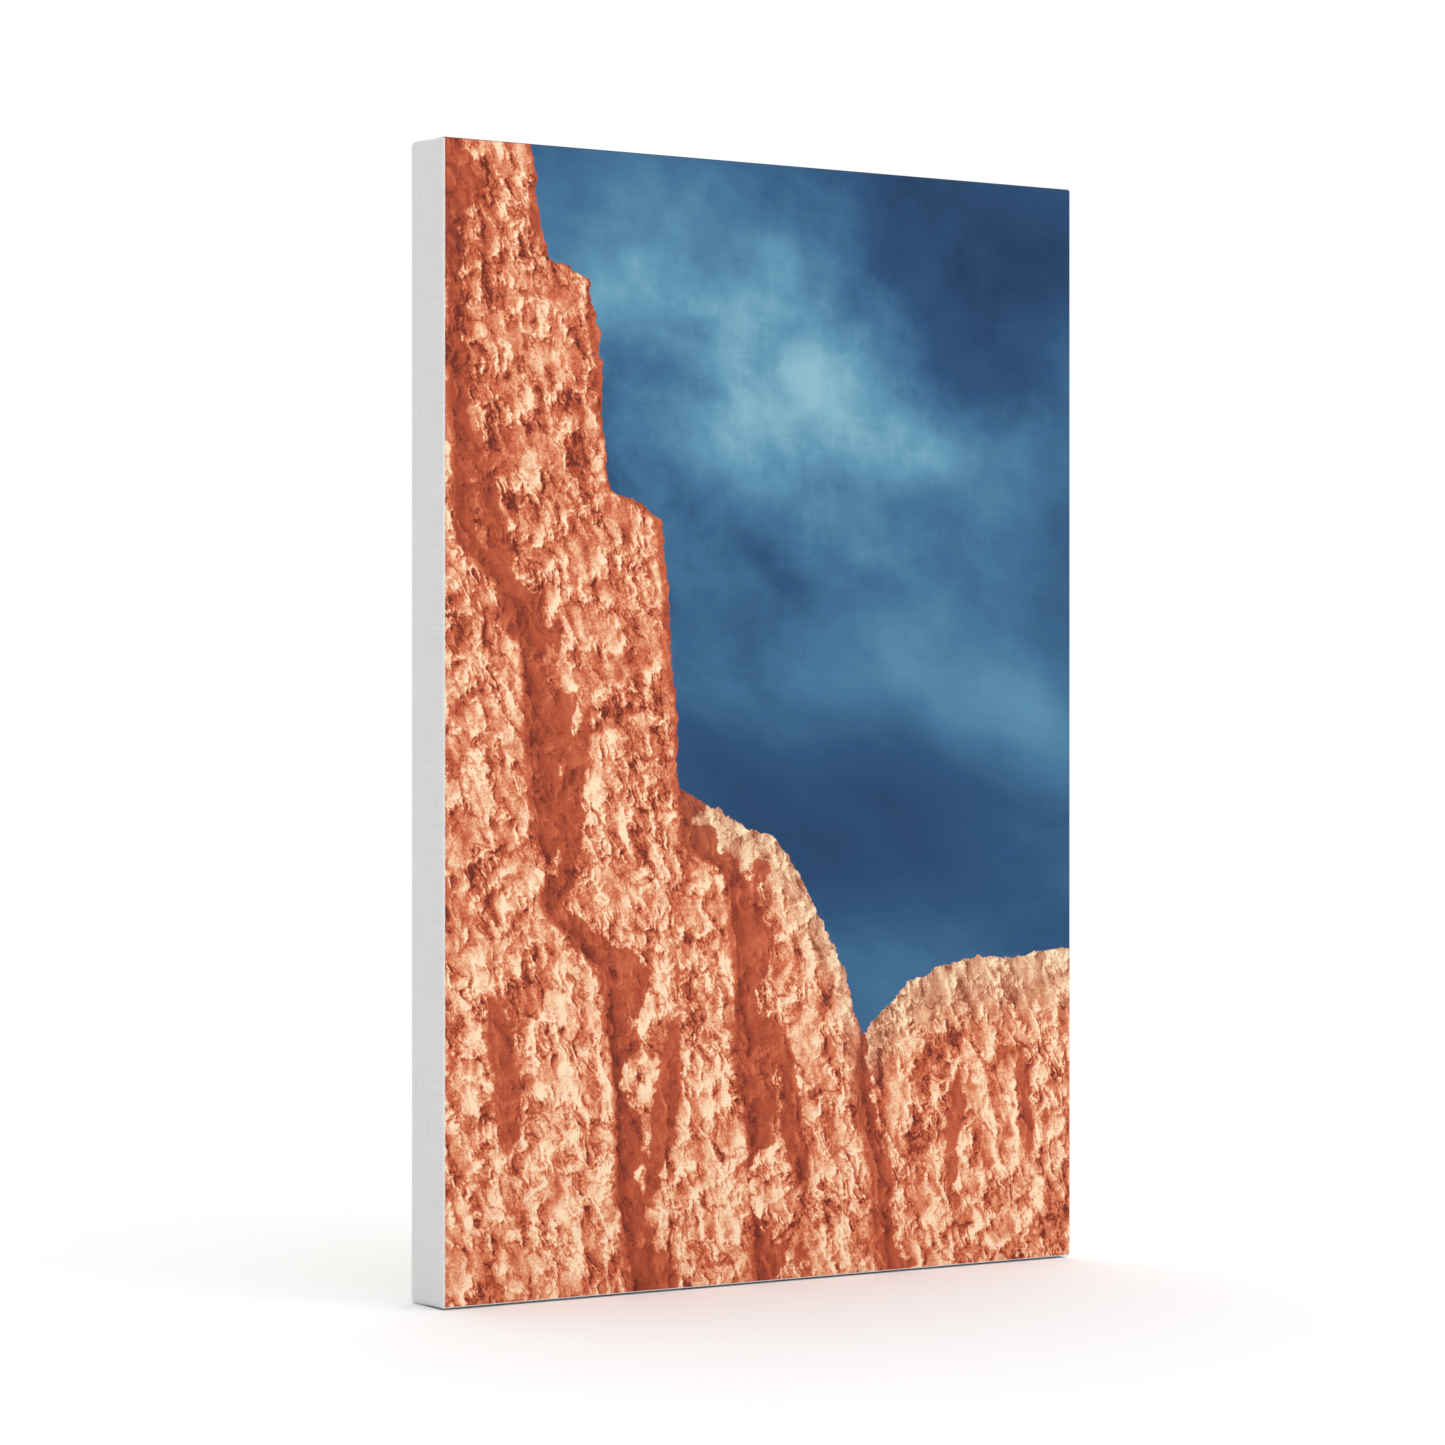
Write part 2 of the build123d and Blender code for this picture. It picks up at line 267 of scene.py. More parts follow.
# Soft spots of light and shade: centre, size, turn in degrees, and amount.
SKY_GLOWS = [
    ((0.45, 0.25), (0.70, 0.24), 25, 0.40),
    ((0.75, 0.62), (0.55, 0.16), 25, 0.24),
    ((0.90, 0.10), (0.40, 0.30), 0, -0.18),
    ((0.60, 0.88), (0.50, 0.20), 0, -0.16),
]
ROCK_GLOWS = [
    ((0.05, 0.35), (0.30, 0.50), 0, -0.16),
    ((0.30, 1.30), (0.50, 0.30), 0, 0.10),
    ((0.85, 1.15), (0.25, 0.14), 0, -0.08),
]
# Clefts in shade: centre, size and turn in degrees.
CLEFTS = [
    ((0.08, 0.52), (0.024, 0.170), -12),
    ((0.19, 0.86), (0.026, 0.200), 8),
    ((0.09, 1.20), (0.030, 0.150), -8),
    ((0.33, 1.26), (0.026, 0.180), 10),
    ((0.53, 1.26), (0.024, 0.170), -10),
    ((0.80, 1.32), (0.018, 0.130), 6),
    ((0.92, 1.28), (0.016, 0.110), -6),
]
SKY_COLOURS = [
    (0.05, rgb(26, 56, 92)),
    (0.30, rgb(42, 80, 120)),
    (0.50, rgb(66, 114, 150)),
    (0.70, rgb(94, 148, 176)),
    (0.95, rgb(138, 184, 202)),
]
ROCK_COLOURS = [
    (0.00, rgb(112, 44, 32)),
    (0.20, rgb(172, 76, 50)),
    (0.40, rgb(205, 105, 70)),
    (0.58, rgb(225, 144, 104)),
    (0.76, rgb(243, 188, 150)),
    (1.00, rgb(255, 226, 190)),
]


def soft_spot(s, p, centre, size, turn=0.0):
    """1 at the middle of an oval spot on the picture, falling smoothly to 0 at its edge."""
    angle = math.radians(turn)
    x, y, _ = s.parts(p)
    x, y = s.sub(x, centre[0]), s.sub(y, centre[1])
    across = s.add(s.mul(x, math.cos(angle) / size[0]), s.mul(y, math.sin(angle) / size[0]))
    along = s.sub(s.mul(y, math.cos(angle) / size[1]), s.mul(x, math.sin(angle) / size[1]))
    reach = s.math("SQRT", s.add(s.mul(across, across), s.mul(along, along)))
    return s.ramp_up(reach, 0.0, 1.0, 1.0, 0.0)


def sky(s, p):
    """Deep blue with thin drifting cloud, fleecier in its upper half."""
    drift = s.wobble(p, 2.2, 0.14, detail=3)
    light = 0.36
    for centre, size, turn, amount in SKY_GLOWS:
        light = s.add(s.mul(soft_spot(s, drift, centre, size, turn), amount), light)
    streaks = s.place(drift, (1.2, 2.6, 1), turn=25)
    wisps = s.sub(s.noise(streaks, 1.7, detail=6, roughness=0.54, flat=True), 0.5)
    fleece = s.sub(s.noise(s.wobble(p, 6, 0.05), 4.2, detail=7, roughness=0.6, flat=True), 0.5)
    fleecy = soft_spot(s, p, (0.50, 0.30), (0.80, 0.60))
    light = s.add(light, s.mul(wisps, 0.50), s.mul(s.mul(fleece, fleecy), 1.1))
    return s.colours(light, SKY_COLOURS)


def rock_height(s, q):
    """The height of bare weathered rock: swells, lumps, stones and a gritty crust."""
    swells = s.mul(s.noise(q, 5, detail=4, roughness=0.6, flat=True), 0.70)
    lumps = s.mul(s.cells(q, 10), -0.12)
    stones = s.mul(s.cells(q, 40), -0.07)
    crust = s.mul(s.ridges(q, 16), 0.070)
    return s.add(swells, lumps, stones, crust)


def beside(s, p, edge):
    """How far inside a rock mass a point is, from the mass's right-hand edge."""
    x, y, _ = s.parts(p)
    reach = s.curve(s.mul(y, 1 / PICTURE_HEIGHT), [(down / PICTURE_HEIGHT, x) for down, x in edge])
    return s.sub(reach, x)


def below(s, p, skyline):
    """How far inside a rock mass a point is, from its skyline."""
    x, y, _ = s.parts(p)
    top = s.curve(x, [(x, down / PICTURE_HEIGHT) for x, down in skyline])
    return s.sub(y, s.mul(top, PICTURE_HEIGHT))


def landscape(s, p):
    """Sunlit red rock under a deep blue sky. The sun is high on the left, so each mass is in shade along
    its own right-hand edge, and throws a shadow on the mass behind it."""
    ragged = s.wobble(s.wobble(p, 9, 0.030, detail=3), 60, 0.014, detail=4, roughness=0.7)
    uneven = s.noise(p, 7, detail=3, roughness=0.6, flat=True)
    jag = s.sub(s.noise(p, 34, detail=5, roughness=0.7, flat=True), 0.5)
    shade, depth, rock, seed, pale = 0.0, 0.0, 0.0, 0.0, 0.0
    for number, (edge, skyline, own_shade, thrown_shade) in enumerate(MASSES):
        from_top = below(s, ragged, skyline) if skyline else 1.0
        from_edge = beside(s, ragged, edge) if edge else 1.0
        inside = s.math("MINIMUM", from_top, from_edge)
        cover = s.ramp_up(inside, -0.0005, 0.0010)
        thrown = s.add(s.mul(s.sub(uneven, 0.28), 5.0 * thrown_shade), s.mul(jag, thrown_shade))
        shade = s.math("MAXIMUM", shade, s.ramp_up(s.add(inside, thrown), -0.003, 0.003))
        depth = s.math("MAXIMUM", depth, s.ramp_up(inside, -0.030, 0.0))
        own_edge = s.sub(from_edge, s.mul(s.sub(uneven, 0.40), 4 * own_shade))
        turned = s.ramp_up(own_edge, 0.0, own_shade, 0.9, 0.0)
        shade = s.blend(cover, shade, turned)
        depth = s.blend(cover, depth, 0.0)
        rock = s.math("MAXIMUM", rock, cover)
        seed = s.blend(cover, seed, 3.7 * number + 1)
        pale = s.blend(cover, pale, s.ramp_up(from_top, 0.0, 0.12, 0.9, 0.0))
    rough = s.wobble(ragged, 26, 0.030, detail=4, roughness=0.7)
    for centre, size, turn in CLEFTS:
        shade = s.math("MAXIMUM", shade, s.ramp_up(soft_spot(s, rough, centre, size, turn), 0.10, 0.34))
    light = 0.0
    for centre, size, turn, amount in ROCK_GLOWS:
        light = s.add(light, s.mul(soft_spot(s, ragged, centre, size, turn), amount))

    q = s.place(s.wobble(p, 24, 0.022, detail=5, roughness=0.6), (1.4, 0.8, 1), turn=-32)
    q = s.shift(q, s.vector(seed, seed))
    here = rock_height(s, q)
    near = rock_height(s, s.shift(q, SUN_STEP * 0.0032))
    far = rock_height(s, s.shift(q, SUN_STEP * 0.015))
    relief = s.add(s.mul(s.sub(here, near), 10.0), s.mul(s.sub(here, far), 1.2))
    vein = s.math("ABSOLUTE", s.sub(s.noise(q, 9, detail=7, roughness=0.62, flat=True), 0.5))
    crack = s.ramp_up(vein, 0.0, 0.030, 1.0, 0.0)
    grit = s.sub(s.noise(p, 260, detail=3, roughness=0.7, flat=True), 0.5)
    relief = s.add(relief, s.mul(crack, -0.34), s.mul(grit, 0.7))
    sunny = s.add(s.add(light, relief), 0.62)
    shady = s.add(s.mul(relief, 0.30), s.mul(uneven, 0.20), s.mul(depth, -0.12), 0.16)
    tone = s.blend(shade, sunny, shady)
    stone = s.colours(tone, ROCK_COLOURS)
    bleached = s.mix(tone, rgb(168, 104, 70), rgb(252, 236, 196))
    stone = s.mix(s.mul(pale, s.sub(0.6, s.mul(shade, 0.5))), stone, bleached)
    return s.mix(rock, sky(s, p), stone)


# ---------------------------------------------------------------------------------------------------
# Materials
# ---------------------------------------------------------------------------------------------------
THREAD = 0.8 * MM


def weave(s, sheet):
    """The height of a plain weave, from 0 to 1, with the threads' uneven thickness."""
    a, b, _ = s.parts(s.wobble(sheet, 60, 0.0004, detail=1))
    wave_a = s.math("SINE", s.mul(a, math.pi / THREAD))
    wave_b = s.math("SINE", s.mul(b, math.pi / THREAD))
    over = s.mul(wave_a, wave_b)
    ridges = s.math("MAXIMUM", s.mul(s.math("ABSOLUTE", wave_a), s.add(0.7, s.mul(over, 0.3))),
                    s.mul(s.math("ABSOLUTE", wave_b), s.sub(0.7, s.mul(over, 0.3))))
    warp = s.noise(s.place(sheet, (1100, 35, 1)), 1.0, detail=1, flat=True)
    weft = s.noise(s.place(sheet, (35, 1100, 1)), 1.0, detail=1, flat=True)
    return s.add(s.mul(ridges, 0.6), s.mul(warp, 0.5), s.mul(weft, 0.5))


def printed_cloth():
    """Primed white cloth with the picture printed on its face."""
    s = Shader("printed_cloth")
    sheet = s.node("UVMap", {}, uv_map="sheet").outputs[0]
    x, y, _ = s.parts(sheet)
    picture = s.vector(s.add(0.5, s.mul(x, 1 / WIDTH)), s.sub(0.5 * HEIGHT / WIDTH, s.mul(y, 1 / WIDTH)))
    print_left = s.ramp_up(x, -WIDTH / 2 + 0.9 * MM, -WIDTH / 2 + 1.2 * MM)
    print_right = s.ramp_up(x, WIDTH / 2 + 0.9 * MM, WIDTH / 2 + 1.2 * MM, 1.0, 0.0)
    print_top = s.ramp_up(y, HEIGHT / 2 + 0.9 * MM, HEIGHT / 2 + 1.2 * MM, 1.0, 0.0)
    print_bottom = s.ramp_up(y, -HEIGHT / 2 + 0.2 * MM, -HEIGHT / 2 + 0.5 * MM)
    printed = s.mul(s.mul(print_left, print_right), s.mul(print_top, print_bottom))
    # Painted shade: over the last 0.6 mm before the top and right edges, and where the print runs over
    # them, the print is darkened toward dark blue-grey, as if the rounded edge turns away from the light.
    right_rim_shade = s.ramp_up(x, WIDTH / 2 - 0.6 * MM, WIDTH / 2, 0.0, 0.55)
    top_rim_shade = s.ramp_up(y, HEIGHT / 2 - 0.6 * MM, HEIGHT / 2, 0.0, 0.55)
    painted_rim_shade = s.math("MAXIMUM", right_rim_shade, top_rim_shade)
    threads = weave(s, sheet)
    white = s.mix(s.noise(sheet, 14, detail=3), rgb(233, 233, 232), rgb(238, 238, 237))
    print_and_rim_shade = s.mix(painted_rim_shade, landscape(s, picture), rgb(30, 48, 66))
    colour = s.mix(printed, white, print_and_rim_shade)
    # Painted shade: the colour is darker where the weave lies lower, in the hollows between the threads.
    weave_shade = s.ramp_up(threads, 0.3, 1.2, 0.87, 1.02)
    colour = s.mix(1.0, colour, s.vector(weave_shade, weave_shade, weave_shade), "MULTIPLY")
    return s.finish(
        Base_Color=colour,
        Roughness=0.72,
        Specular_IOR_Level=0.15,
        Normal=s.bump(threads, 0.12 * MM, 0.5),
    )


def raw_cloth():
    """The unprimed back of the cloth."""
    s = Shader("raw_cloth")
    sheet = s.node("UVMap", {}, uv_map="sheet").outputs[0]
    threads = weave(s, sheet)
    flecks = s.ramp_up(s.noise(sheet, 900, detail=2), 0.66, 0.72)
    # Painted shade: the cloth is darker where the weave lies lower, in the hollows between the threads.
    colour = s.mix(s.ramp_up(threads, 0.4, 1.2), rgb(198, 186, 160), rgb(228, 219, 196))
    colour = s.mix(s.mul(flecks, 0.5), colour, rgb(150, 128, 96))
    return s.finish(Base_Color=colour, Roughness=0.9, Normal=s.bump(threads, 0.2 * MM, 0.8))


def pine(name, along, seed):
    """Planed pine with its grain along X, if along is 0, or along Z, if it is 2. The growth rings are long
    cones round a pith that lies outside the bar, pushed about by noise and by a few knots."""
    s = Shader(name)
    place = s.node("TexCoord", {}).outputs["Object"]
    x, y, z = s.parts(place)
    run, side = (x, z) if along == 0 else (z, x)
    trunk = s.vector(s.mul(run, 0.05), s.add(y, 0.05 + 0.012 * seed), s.add(side, 0.02 * seed - 0.04))
    trunk = s.wobble(s.shift(trunk, (seed, 0, 0)), 18, 0.016, detail=3, flat=False)
    knot = s.cells(s.vector(s.mul(run, 4), s.add(s.mul(side, 9), seed * 1.7)), 1.0)
    _, depth, across = s.parts(trunk)
    radius = s.math("SQRT", s.add(s.mul(depth, depth), s.mul(across, across)))
    radius = s.add(radius, s.mul(s.ramp_up(knot, 0.0, 0.30, 1.0, 0.0), 0.006))
    rings = s.math("FRACT", s.mul(radius, 230))
    late = s.mul(s.ramp_up(rings, 0.20, 0.88), s.ramp_up(rings, 0.90, 1.0, 1.0, 0.0))
    late = s.mul(late, s.add(0.35, s.noise(trunk, 60, detail=2)))
    fibre = s.noise(s.vector(s.mul(run, 9), s.mul(y, 900), s.mul(side, 900)), 1.0, detail=3)
    colour = s.mix(s.mul(late, 0.60), rgb(229, 202, 156), rgb(200, 152, 98))
    colour = s.mix(s.mul(s.ramp_up(fibre, 0.40, 0.75), 0.30), colour, rgb(186, 142, 96))
    blotch = s.noise(place, 7, detail=3)
    colour = s.mix(s.mul(s.ramp_up(blotch, 0.40, 0.75), 0.30), colour, rgb(216, 176, 124))
    heart = s.ramp_up(knot, 0.035, 0.055, 1.0, 0.0)
    colour = s.mix(s.mul(heart, 0.55), colour, rgb(134, 84, 46))
    return s.finish(
        Base_Color=colour,
        Roughness=s.add(0.55, s.mul(fibre, 0.2)),
        Normal=s.bump(fibre, 0.05 * MM, 0.5),
    )


def key_wood(name, along, seed):
    """Close-grained hardwood for the corner keys, sawn a little rough."""
    s = Shader(name)
    place = s.node("TexCoord", {}).outputs["Object"]
    x, y, z = s.parts(place)
    run, side = (x, z) if along == 0 else (z, x)
    fibres = s.vector(s.mul(run, 45), s.mul(y, 1100), s.add(s.mul(side, 1100), seed))
    pores = s.ramp_up(s.noise(fibres, 1.0, detail=3, roughness=0.6), 0.50, 0.80)
    tone = s.noise(s.shift(place, (seed, 0, 0)), 60, detail=2)
    colour = s.mix(s.ramp_up(tone, 0.3, 0.7), rgb(214, 178, 130), rgb(196, 156, 108))
    colour = s.mix(s.mul(pores, 0.6), colour, rgb(150, 110, 70))
    return s.finish(Base_Color=colour, Roughness=0.6, Normal=s.bump(pores, -0.05 * MM, 0.5))


def plated_steel(name, tint, roughness, scale):
    """Zinc or nickel plated steel, with the plating's faint clouding and fine scratches."""
    s = Shader(name)
    place = s.node("TexCoord", {}).outputs["Object"]
    cloud = s.noise(place, scale, detail=4)
    scratch = s.noise(s.place(place, (200, 6000, 1500), turn=20), 1.0, detail=2)
    colour = s.mix(s.ramp_up(cloud, 0.35, 0.7), tint, tuple(v * 0.78 for v in tint[:3]) + (1,))
    return s.finish(
        Base_Color=colour,
        Metallic=1.0,
        Roughness=s.add(roughness, s.mul(cloud, 0.18)),
        Normal=s.bump(scratch, 0.02 * MM, 0.35),
    )


def rubber():
    """Black moulded rubber with a fine grain and a little dust."""
    s = Shader("rubber")
    place = s.node("TexCoord", {}).outputs["Object"]
    grain = s.noise(place, 2600, detail=2)
    dust = s.ramp_up(s.noise(place, 300, detail=3), 0.52, 0.75)
    colour = s.mix(s.mul(dust, 0.35), rgb(30, 30, 32), rgb(78, 76, 72))
    return s.finish(Base_Color=colour, Roughness=0.62, Normal=s.bump(grain, 0.05 * MM, 0.5))


# ---------------------------------------------------------------------------------------------------
# The cloth
# ---------------------------------------------------------------------------------------------------
def spread(low, high, step, *extra):
    """Even places from low to high, about a step apart, with the extra ones among them."""
    count = max(1, round((high - low) / step))
    even = [low + (high - low) * i / count for i in range(count + 1)]
    kept = [v for v in even if all(abs(v - e) > step / 3 for e in extra) or v in (low, high)]
    return sorted(kept + list(extra))


def panel(mesh, rows, place):
    """Adds a grid of quads. rows is a list of lists of parameters, and place turns one into a point."""
    grid = [[mesh.verts.new(place(*entry)) for entry in row] for row in rows]
    for upper, lower in zip(grid, grid[1:]):
        for i in range(len(upper) - 1):
            mesh.faces.new((upper[i], upper[i + 1], lower[i + 1], lower[i]))


def flat_place(point, normal, centre):
    """Where a corner of one of the wrapped cloth's faces lies on the flat sheet, from the picture's middle.
    The face's normal and centre tell which side of the frame it is on."""
    x, y, z = point.x, point.y - FRONT, point.z - MIDDLE
    behind = normal.y > 0.7
    to_side, to_rim = WIDTH / 2 - abs(x), HEIGHT / 2 - abs(z)
    if behind:
        over_rim = HEIGHT / 2 - abs(centre.z - MIDDLE) < WIDTH / 2 - abs(centre.x)
    else:
        over_rim = abs(normal.z) > abs(normal.x)
    if over_rim:
        run = HEIGHT / 2 + DEPTH + to_rim if behind else abs(z) + y
        return x, math.copysign(run, z)
    run = WIDTH / 2 + DEPTH + to_side if behind else abs(x) + y
    return math.copysign(run, x), z


def smooth_step(value, low, high):
    """From 0 to 1, smoothly, as value goes from low to high."""
    share = max(0.0, min(1.0, (value - low) / (high - low)))
    return share * share * (3 - 2 * share)


def hem_run(along, seed):
    """How wide the hem is at one place along an edge: it was cut by hand, so it wanders a little."""
    wander = noise.fractal(Vector((along * 14, seed, 0)), 0.8, 2.0, 3)
    return HEM + HEM_WANDER * max(-0.9, min(0.9, wander))


def hem_lift(point):
    """How far the hem stands off the bars: nothing at the staples and along the folded edge."""
    to_side, to_rim = WIDTH / 2 - abs(point.x), HEIGHT / 2 - abs(point.z - MIDDLE)
    to_edge = min(to_side, to_rim)
    on_rim = to_rim < to_side
    free = max(0.0, min(1.0, (to_edge - 17 * MM) / (9 * MM)))
    along = point.x if on_rim else point.z
    pitch = SHORT_PITCH if on_rim else LONG_PITCH
    start = 0.0 if on_rim else MIDDLE
    between = 0.5 - 0.5 * math.cos(2 * math.pi * (along - start) / pitch)
    ruck = 0.6 + 0.4 * noise.noise(Vector((along * 30, to_edge * 20, 3.0)))
    from_hanger = 1.0 if on_rim else smooth_step(abs(point.z - HINGE_HEIGHT), 30 * MM, 60 * MM)
    from_corner = to_side if on_rim else to_rim
    away = from_hanger * smooth_step(from_corner, 34 * MM, 70 * MM)
    return HEM_LIFT * free * between * ruck * away


def slack(x, z):
    """The slight waves of a stretched face, which fade out towards its edges."""
    fade = min(1.0, (WIDTH / 2 - abs(x)) / (60 * MM), (HEIGHT / 2 - abs(z - MIDDLE)) / (60 * MM))
    return FACE_WAVE * max(0.0, fade) * noise.noise(Vector((x * 9, 7.0, z * 7)))


def wrapped_sheet(mesh):
    """The face, the four sides and the hem. The hem's inner edge is moved to where it was cut."""
    half = WIDTH / 2
    near = 2.6 * MM
    across = spread(-half, half, 5 * MM, -half + near, half - near, -half + HEM, half - HEM)
    upright = spread(BOTTOM, TOP, 5 * MM, BOTTOM + near, TOP - near, BOTTOM + HEM, TOP - HEM)
    deep = spread(FRONT, BACK, 6 * MM, FRONT + near, BACK - near)
    panel(mesh, [[(x, z) for x in across] for z in upright], lambda x, z: (x, FRONT + slack(x, z), z))
    for x in (-half, half):
        panel(mesh, [[(y, z) for y in deep] for z in upright], lambda y, z: (x, y, z))
    for z in (BOTTOM, TOP):
        panel(mesh, [[(x, y) for x in across] for y in deep], lambda x, y: (x, y, z))
    hem_low = [z for z in upright if z <= BOTTOM + HEM + SAME_PLACE]
    hem_high = [z for z in upright if z >= TOP - HEM - SAME_PLACE]
    between = [z for z in upright if BOTTOM + HEM - SAME_PLACE <= z <= TOP - HEM + SAME_PLACE]

    def behind(x, z):
        """A point of the hem, moved in or out as the cut edge wanders, and lifted between staples."""
        side, rim = math.copysign(1, x), math.copysign(1, z - MIDDLE)
        to_side, to_rim = half - abs(x), HEIGHT / 2 - abs(z - MIDDLE)
        inner_side = abs(to_side - HEM) < SAME_PLACE and to_rim > HEM - SAME_PLACE
        inner_rim = abs(to_rim - HEM) < SAME_PLACE and to_side > HEM - SAME_PLACE
        new_x = side * (half - hem_run(z, side)) if inner_side else x
        new_z = MIDDLE + rim * (HEIGHT / 2 - hem_run(x, 5 + rim)) if inner_rim else z
        return new_x, BACK + hem_lift(Vector((new_x, BACK, new_z))), new_z

    for rows in (hem_low, hem_high):
        panel(mesh, [[(x, z) for x in across] for z in rows], behind)
    for side in (-1, 1):
        strip = [x for x in across if side * x >= half - HEM - SAME_PLACE]
        panel(mesh, [[(x, z) for x in strip] for z in between], behind)
    bmesh.ops.remove_doubles(mesh, verts=mesh.verts, dist=0.01 * MM)
    bmesh.ops.recalc_face_normals(mesh, faces=mesh.faces)
    mesh.normal_update()


def round_edges(mesh):
    """Rounds the sharp edges of the wrapped sheet, where it turns over the bars."""
    def sharp(edge):
        return len(edge.link_faces) == 2 and edge.calc_face_angle() > 1.0

    rims = [e for e in mesh.edges if sharp(e)]
    bmesh.ops.bevel(
        mesh, geom=rims, offset=EDGE_RADIUS, offset_type="OFFSET", segments=5, profile=0.5, affect="EDGES"
    )


def fold_columns(reach):
    """Places across the fold, close together near its two edges."""
    soft = min(reach / 3, FOLD_SOFT)
    inner = [soft + (reach - 2 * soft) * i / 8 for i in range(9)]
    crease = [reach - soft * 0.5, reach - soft * 0.3, reach - soft * 0.1, reach]
    return [0, soft * 0.3, soft * 0.65, *inner, *crease]


def fold_reach(along):
    """How far in from the corner the fold comes. Its slanted crease turns smoothly at the hem's width."""
    turning = max(0.0, min(1.0, (along - HEM + 4 * MM) / (8 * MM)))
    return min(HEM, along - 4 * MM * turning * turning)


def fold_height(along, inwards, reach):
    """How far the fold stands off the edge. Its own edges sink a little below the cloth under it."""
    full = FOLD_START + (FOLD - FOLD_START) * smooth_step(along, 10 * MM, 34 * MM)
    raised = min(smooth_step(inwards, 0, FOLD_SOFT), smooth_step(reach - inwards, 0, 0.5 * MM))
    from_side = min(EDGE_RADIUS, inwards + FOLD_INSET)
    drop = EDGE_RADIUS - math.sqrt(EDGE_RADIUS**2 - (EDGE_RADIUS - from_side) ** 2)
    return full * raised - FOLD_SINK * (1 - raised) - drop


def fold_place(along, height):
    """The depth and the rise of a point on the fold, over the edge, round the back and down the hem."""
    flank = DEPTH - EDGE_RADIUS
    quarter = math.pi / 2 * EDGE_RADIUS
    if along < flank:
        return FRONT + along, height
    if along < flank + quarter:
        turn = (along - flank) / EDGE_RADIUS
        depth = BACK - EDGE_RADIUS + (EDGE_RADIUS + height) * math.sin(turn)
        return depth, -EDGE_RADIUS + (EDGE_RADIUS + height) * math.cos(turn)
    return BACK + height, -EDGE_RADIUS - (along - flank - quarter)


def folded_corner(mesh, side, rim, layer):
    """The spare cloth of one corner, folded flat over the top or bottom edge and round onto the hem.
    The fold starts at nothing at the front corner, and its slanted crease runs from there."""
    length = DEPTH - EDGE_RADIUS + math.pi / 2 * EDGE_RADIUS + HEM - EDGE_RADIUS
    edge_z = TOP if rim > 0 else BOTTOM
    rows = []
    for i in range(1, FOLD_STEPS + 1):
        along = length * i / FOLD_STEPS
        reach = fold_reach(along)
        row = []
        for inwards in fold_columns(reach):
            y, z = fold_place(along, fold_height(along, inwards, reach))
            x = side * (WIDTH / 2 - FOLD_INSET - inwards)
            flat = (side * (WIDTH / 2 + along - inwards), rim * (HEIGHT / 2 + along))
            row.append((mesh.verts.new((x, y, edge_z + rim * z)), flat))
        rows.append(row)
    for upper, lower in zip(rows, rows[1:]):
        for j in range(len(upper) - 1):
            corners = [upper[j], upper[j + 1], lower[j + 1], lower[j]]
            face = mesh.faces.new([corner[0] for corner in corners])
            face.smooth = True
            for loop, corner in zip(face.loops, corners):
                loop[layer].uv = corner[1]
            face.normal_update()
            centre = face.calc_center_median()
            inside = Vector((centre.x, (FRONT + BACK) / 2, MIDDLE + rim * (HEIGHT / 2 - DEPTH / 2)))
            if face.normal.dot(centre - inside) < 0:
                face.normal_flip()


def outwards(mesh):
    """Turns the faces so that they look away from the middle of the frame."""
    middle = Vector((0, (FRONT + BACK) / 2, MIDDLE))
    mesh.normal_update()
    for face in mesh.faces:
        centre = face.calc_center_median()
        away = Vector((0, 1, 0)) if centre.y > BACK - 0.1 * MM else centre - middle
        if centre.y < FRONT + 0.1 * MM:
            away = Vector((0, -1, 0))
        if face.normal.dot(away) < 0:
            face.normal_flip()
    mesh.normal_update()


def cloth_object(outside, inside):
    mesh = bmesh.new()
    wrapped_sheet(mesh)
    round_edges(mesh)
    outwards(mesh)
    layer = mesh.loops.layers.uv.new("sheet")
    for face in mesh.faces:
        face.smooth = True
        for loop in face.loops:
            loop[layer].uv = flat_place(loop.vert.co, face.normal, face.calc_center_median())
    for side in (-1, 1):
        for rim in (-1, 1):
            folded_corner(mesh, side, rim, layer)
    data = bpy.data.meshes.new("canvas_cloth")
    mesh.to_mesh(data)
    mesh.free()
    cloth = bpy.data.objects.new("canvas_cloth", data)
    bpy.context.scene.collection.objects.link(cloth)
    data.materials.append(outside)
    data.materials.append(inside)
    thick = cloth.modifiers.new("thickness", "SOLIDIFY")
    thick.thickness = THICKNESS
    thick.offset = -1
    thick.material_offset = 1
    thick.material_offset_rim = 1
    cloth.modifiers.new("flat_faces_first", "WEIGHTED_NORMAL")
    return cloth


cloth = cloth_object(printed_cloth(), raw_cloth())
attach(cloth, "frame")
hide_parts("canvas")


# ---------------------------------------------------------------------------------------------------
# Finishes of the CAD pieces
# ---------------------------------------------------------------------------------------------------
def finish_piece(name, material):
    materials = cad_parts[name].data.materials
    materials.clear()
    materials.append(material)


for seed, (side, along) in enumerate((("top", 0), ("right", 2), ("bottom", 0), ("left", 2))):
    finish_piece(f"bar_{side}", pine(f"pine_{side}", along, seed + 1))
    wood = key_wood(f"key_wood_{side}", along, seed * 5.0)
    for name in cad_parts:
        if name.startswith(f"key_{side}_by_"):
            finish_piece(name, wood)
staple_steel = plated_steel("staple_steel", rgb(160, 162, 168), 0.30, 400)
strap_steel = plated_steel("strap_steel", rgb(176, 176, 180), 0.26, 260)
ring_steel = plated_steel("ring_steel", rgb(192, 192, 196), 0.16, 200)
screw_steel = plated_steel("screw_steel", rgb(168, 168, 174), 0.24, 500)
black_rubber = rubber()
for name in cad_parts:
    for start, material in (
        ("staples", staple_steel),
        ("hanger_strap", strap_steel),
        ("hanger_ring", ring_steel),
        ("hanger_screw", screw_steel),
        ("bumper", black_rubber),
    ):
        if name.startswith(start):
            finish_piece(name, material)


# ---------------------------------------------------------------------------------------------------
# Floor, light and camera
# ---------------------------------------------------------------------------------------------------
FLOOR_REACH = 40
